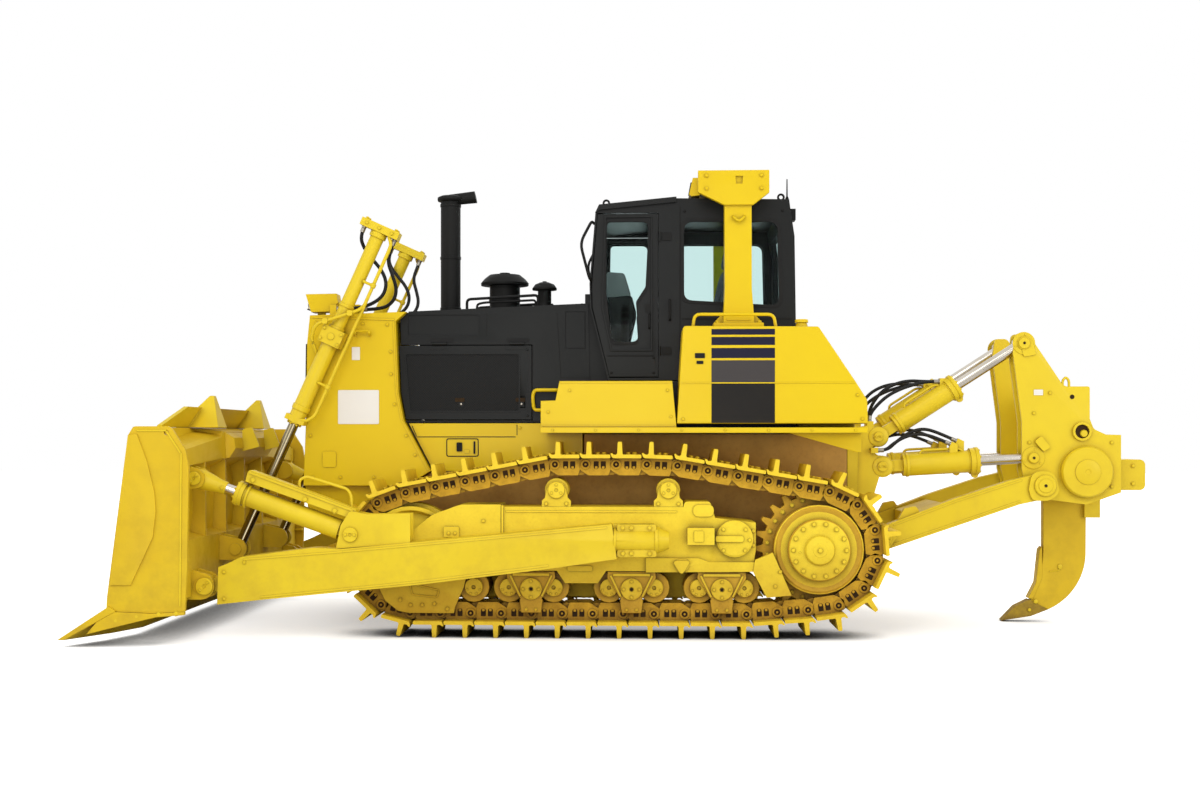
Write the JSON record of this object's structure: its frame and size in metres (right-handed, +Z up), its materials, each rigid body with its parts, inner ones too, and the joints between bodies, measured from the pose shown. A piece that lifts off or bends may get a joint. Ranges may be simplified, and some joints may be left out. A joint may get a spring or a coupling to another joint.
{
  "type": "crawler bulldozer with semi-u blade and single-shank ripper",
  "caption": "Tracked bulldozer with a lifting semi-U blade in front, an enclosed cab under a rollover bar, and a parallelogram ripper behind.",
  "frame": {"origin": "on the ground, below the middle of the overall length, on the centre plane", "axes": "+X forward to the blade, +Y to the machine's left, +Z up"},
  "size_m": [9.22, 4.34, 3.9857],
  "materials": {
    "yellow_paint": "machine yellow gloss",
    "dark_paint": "charcoal satin",
    "track_iron": "yellow paint worn on steel",
    "chrome": "polished rod",
    "glass": "tinted clear",
    "seat_cloth": "black cloth",
    "console_plastic": "matt",
    "engine_iron": "grey",
    "rubber": "black",
    "bare_steel": "worn"
  },
  "bodies": {
    "tractor": {"air_cleaners": "dark_paint", "cab_consoles": "console_plastic", "cab_deck": "dark_paint", "cab_glass": "glass", "cab_shell": "dark_paint", "carrier_rollers": "yellow_paint", "engine": "engine_iron", "exhaust_stack": "dark_paint", "fender_left": "yellow_paint", "fender_right": "yellow_paint", "final_drives": "yellow_paint", "hood": "dark_paint", "idlers": "yellow_paint", "lift_hoses": "rubber", "main_frame": "yellow_paint", "operator_seat": "seat_cloth", "radiator_grille": "dark_paint", "radiator_guard": "yellow_paint", "rear_bracket": "yellow_paint", "rear_fuel_tank": "yellow_paint", "ripper_hoses": "rubber", "rollover_beam": "yellow_paint", "rollover_post_left": "yellow_paint", "rollover_post_right": "yellow_paint", "side_panels": "yellow_paint", "side_tank_left": "yellow_paint", "side_tank_right": "yellow_paint", "sprockets": "track_iron", "track_frame_left": "yellow_paint", "track_frame_right": "yellow_paint", "track_left": "track_iron", "track_right": "track_iron", "track_rollers": "yellow_paint"},
    "push_arms": {"push_arm_left": "yellow_paint", "push_arm_right": "yellow_paint"},
    "blade": {"moldboard": "yellow_paint", "blade_end_plates": "yellow_paint", "cutting_edge": "yellow_paint", "spill_guard": "yellow_paint"},
    "lift_cylinders": {"lift_cylinder_barrels": "yellow_paint", "lift_yokes": "yellow_paint"},
    "lift_rods": {"lift_cylinder_rods": "chrome"},
    "pitch_cylinders": {"pitch_cylinder_barrels": "yellow_paint"},
    "pitch_rods": {"pitch_cylinder_rods": "chrome"},
    "ripper_linkage": {"ripper_arms": "yellow_paint", "ripper_cross_tube": "yellow_paint", "ripper_pins": "yellow_paint"},
    "ripper": {"ripper_frame": "yellow_paint", "ripper_shank": "yellow_paint", "shank_tip": "bare_steel"},
    "ripper_lift_cylinders": {"ripper_lift_barrels": "yellow_paint"},
    "ripper_lift_cylinder_rods": {"ripper_lift_rods": "chrome"},
    "ripper_tilt_cylinders": {"ripper_tilt_barrels": "yellow_paint", "ripper_tilt_rods": "chrome"},
    "left_cab_door": {"cab_door_left": "dark_paint", "door_glass_left": "glass"},
    "right_cab_door": {"cab_door_right": "dark_paint", "door_glass_right": "glass"},
    "left_engine_door": {"engine_door_left": "dark_paint"},
    "right_engine_door": {"engine_door_right": "dark_paint"}
  },
  "joints": [
    {"name": "blade_lift", "type": "hinge", "parent": "tractor", "child": "push_arms", "pos_m": [-0.15, 0, 0.838], "axis": [0, -1, 0], "range_deg": [-7.8, 17.5]},
    {"name": "blade_pitch", "type": "hinge", "parent": "push_arms", "child": "blade", "pos_m": [3.568, 0, 0.452], "axis": [0, -1, 0], "range_deg": [-6, 6]},
    {"name": "lift_cylinder_swing", "type": "hinge", "parent": "tractor", "child": "lift_cylinders", "pos_m": [2.65, 0, 2.575], "axis": [0, -1, 0], "range_deg": [-8.03, 17.28], "deforming": ["lift_hoses"]},
    {"name": "lift_rod_slide", "type": "slide", "parent": "lift_cylinders", "child": "lift_rods", "axis": [0.4113, 0, -0.9115], "range_m": [-1.0062, 0.4507]},
    {"name": "pitch_cylinder_swing", "type": "hinge", "parent": "push_arms", "child": "pitch_cylinders", "pos_m": [2.32, 0, 0.882], "axis": [0, -1, 0], "range_deg": [-2.12, 2.12]},
    {"name": "pitch_rod_slide", "type": "slide", "parent": "pitch_cylinders", "child": "pitch_rods", "axis": [0.9424, 0, 0.3346], "range_m": [-0.0901, 0.0901]},
    {"name": "ripper_lift", "type": "hinge", "parent": "tractor", "child": "ripper_linkage", "pos_m": [-2.2, 0, 0.805], "axis": [0, 1, 0], "range_deg": [-45, 33]},
    {"name": "ripper_level", "type": "hinge", "parent": "ripper_linkage", "child": "ripper", "pos_m": [-3.613, 0, 1.262], "axis": [0, 1, 0], "range_deg": [-22.35, 30.26]},
    {"name": "ripper_lift_cylinder_swing", "type": "hinge", "parent": "tractor", "child": "ripper_lift_cylinders", "pos_m": [-2.228, 0, 1.426], "axis": [0, 1, 0], "range_deg": [-46.83, 34.5], "deforming": ["ripper_hoses"]},
    {"name": "ripper_lift_rod_slide", "type": "slide", "parent": "ripper_lift_cylinders", "child": "ripper_lift_cylinder_rods", "axis": [-0.9983, 0, 0.0586], "range_m": [-0.2562, 0.348]},
    {"name": "ripper_tilt_cylinder_swing", "type": "hinge", "parent": "tractor", "child": "ripper_tilt_cylinders", "pos_m": [-2.192, 0, 1.691], "axis": [0, 1, 0], "range_deg": [-47.59, 35.06]},
    {"name": "left_cab_door_swing", "type": "hinge", "parent": "tractor", "child": "left_cab_door", "pos_m": [-0.242, 0.858, 0], "axis": [0, 0, 1], "range_deg": [0, 80]},
    {"name": "right_cab_door_swing", "type": "hinge", "parent": "tractor", "child": "right_cab_door", "pos_m": [-0.242, -0.858, 0], "axis": [0, 0, -1], "range_deg": [0, 80]},
    {"name": "left_engine_door_lift", "type": "hinge", "parent": "tractor", "child": "left_engine_door", "pos_m": [0, 0.608, 2.524], "axis": [1, 0, 0], "range_deg": [0, 90]},
    {"name": "right_engine_door_lift", "type": "hinge", "parent": "tractor", "child": "right_engine_door", "pos_m": [0, -0.608, 2.524], "axis": [-1, 0, 0], "range_deg": [0, 90]}
  ],
  "couplings": [
    {"joint": "lift_cylinder_swing", "follows": "blade_lift", "ratio": 0.95292},
    {"joint": "lift_rod_slide", "follows": "blade_lift", "m_per_rad": -3.2812},
    {"joint": "pitch_cylinder_swing", "follows": "blade_pitch", "ratio": 0.25336},
    {"joint": "pitch_rod_slide", "follows": "blade_pitch", "m_per_rad": -0.82238},
    {"joint": "ripper_level", "follows": "ripper_lift", "ratio": -0.65907},
    {"joint": "ripper_lift_cylinder_swing", "follows": "ripper_lift", "ratio": 1.0274},
    {"joint": "ripper_lift_rod_slide", "follows": "ripper_lift", "m_per_rad": -0.43794},
    {"joint": "ripper_tilt_cylinder_swing", "follows": "ripper_lift", "ratio": 1.0443}
  ]
}
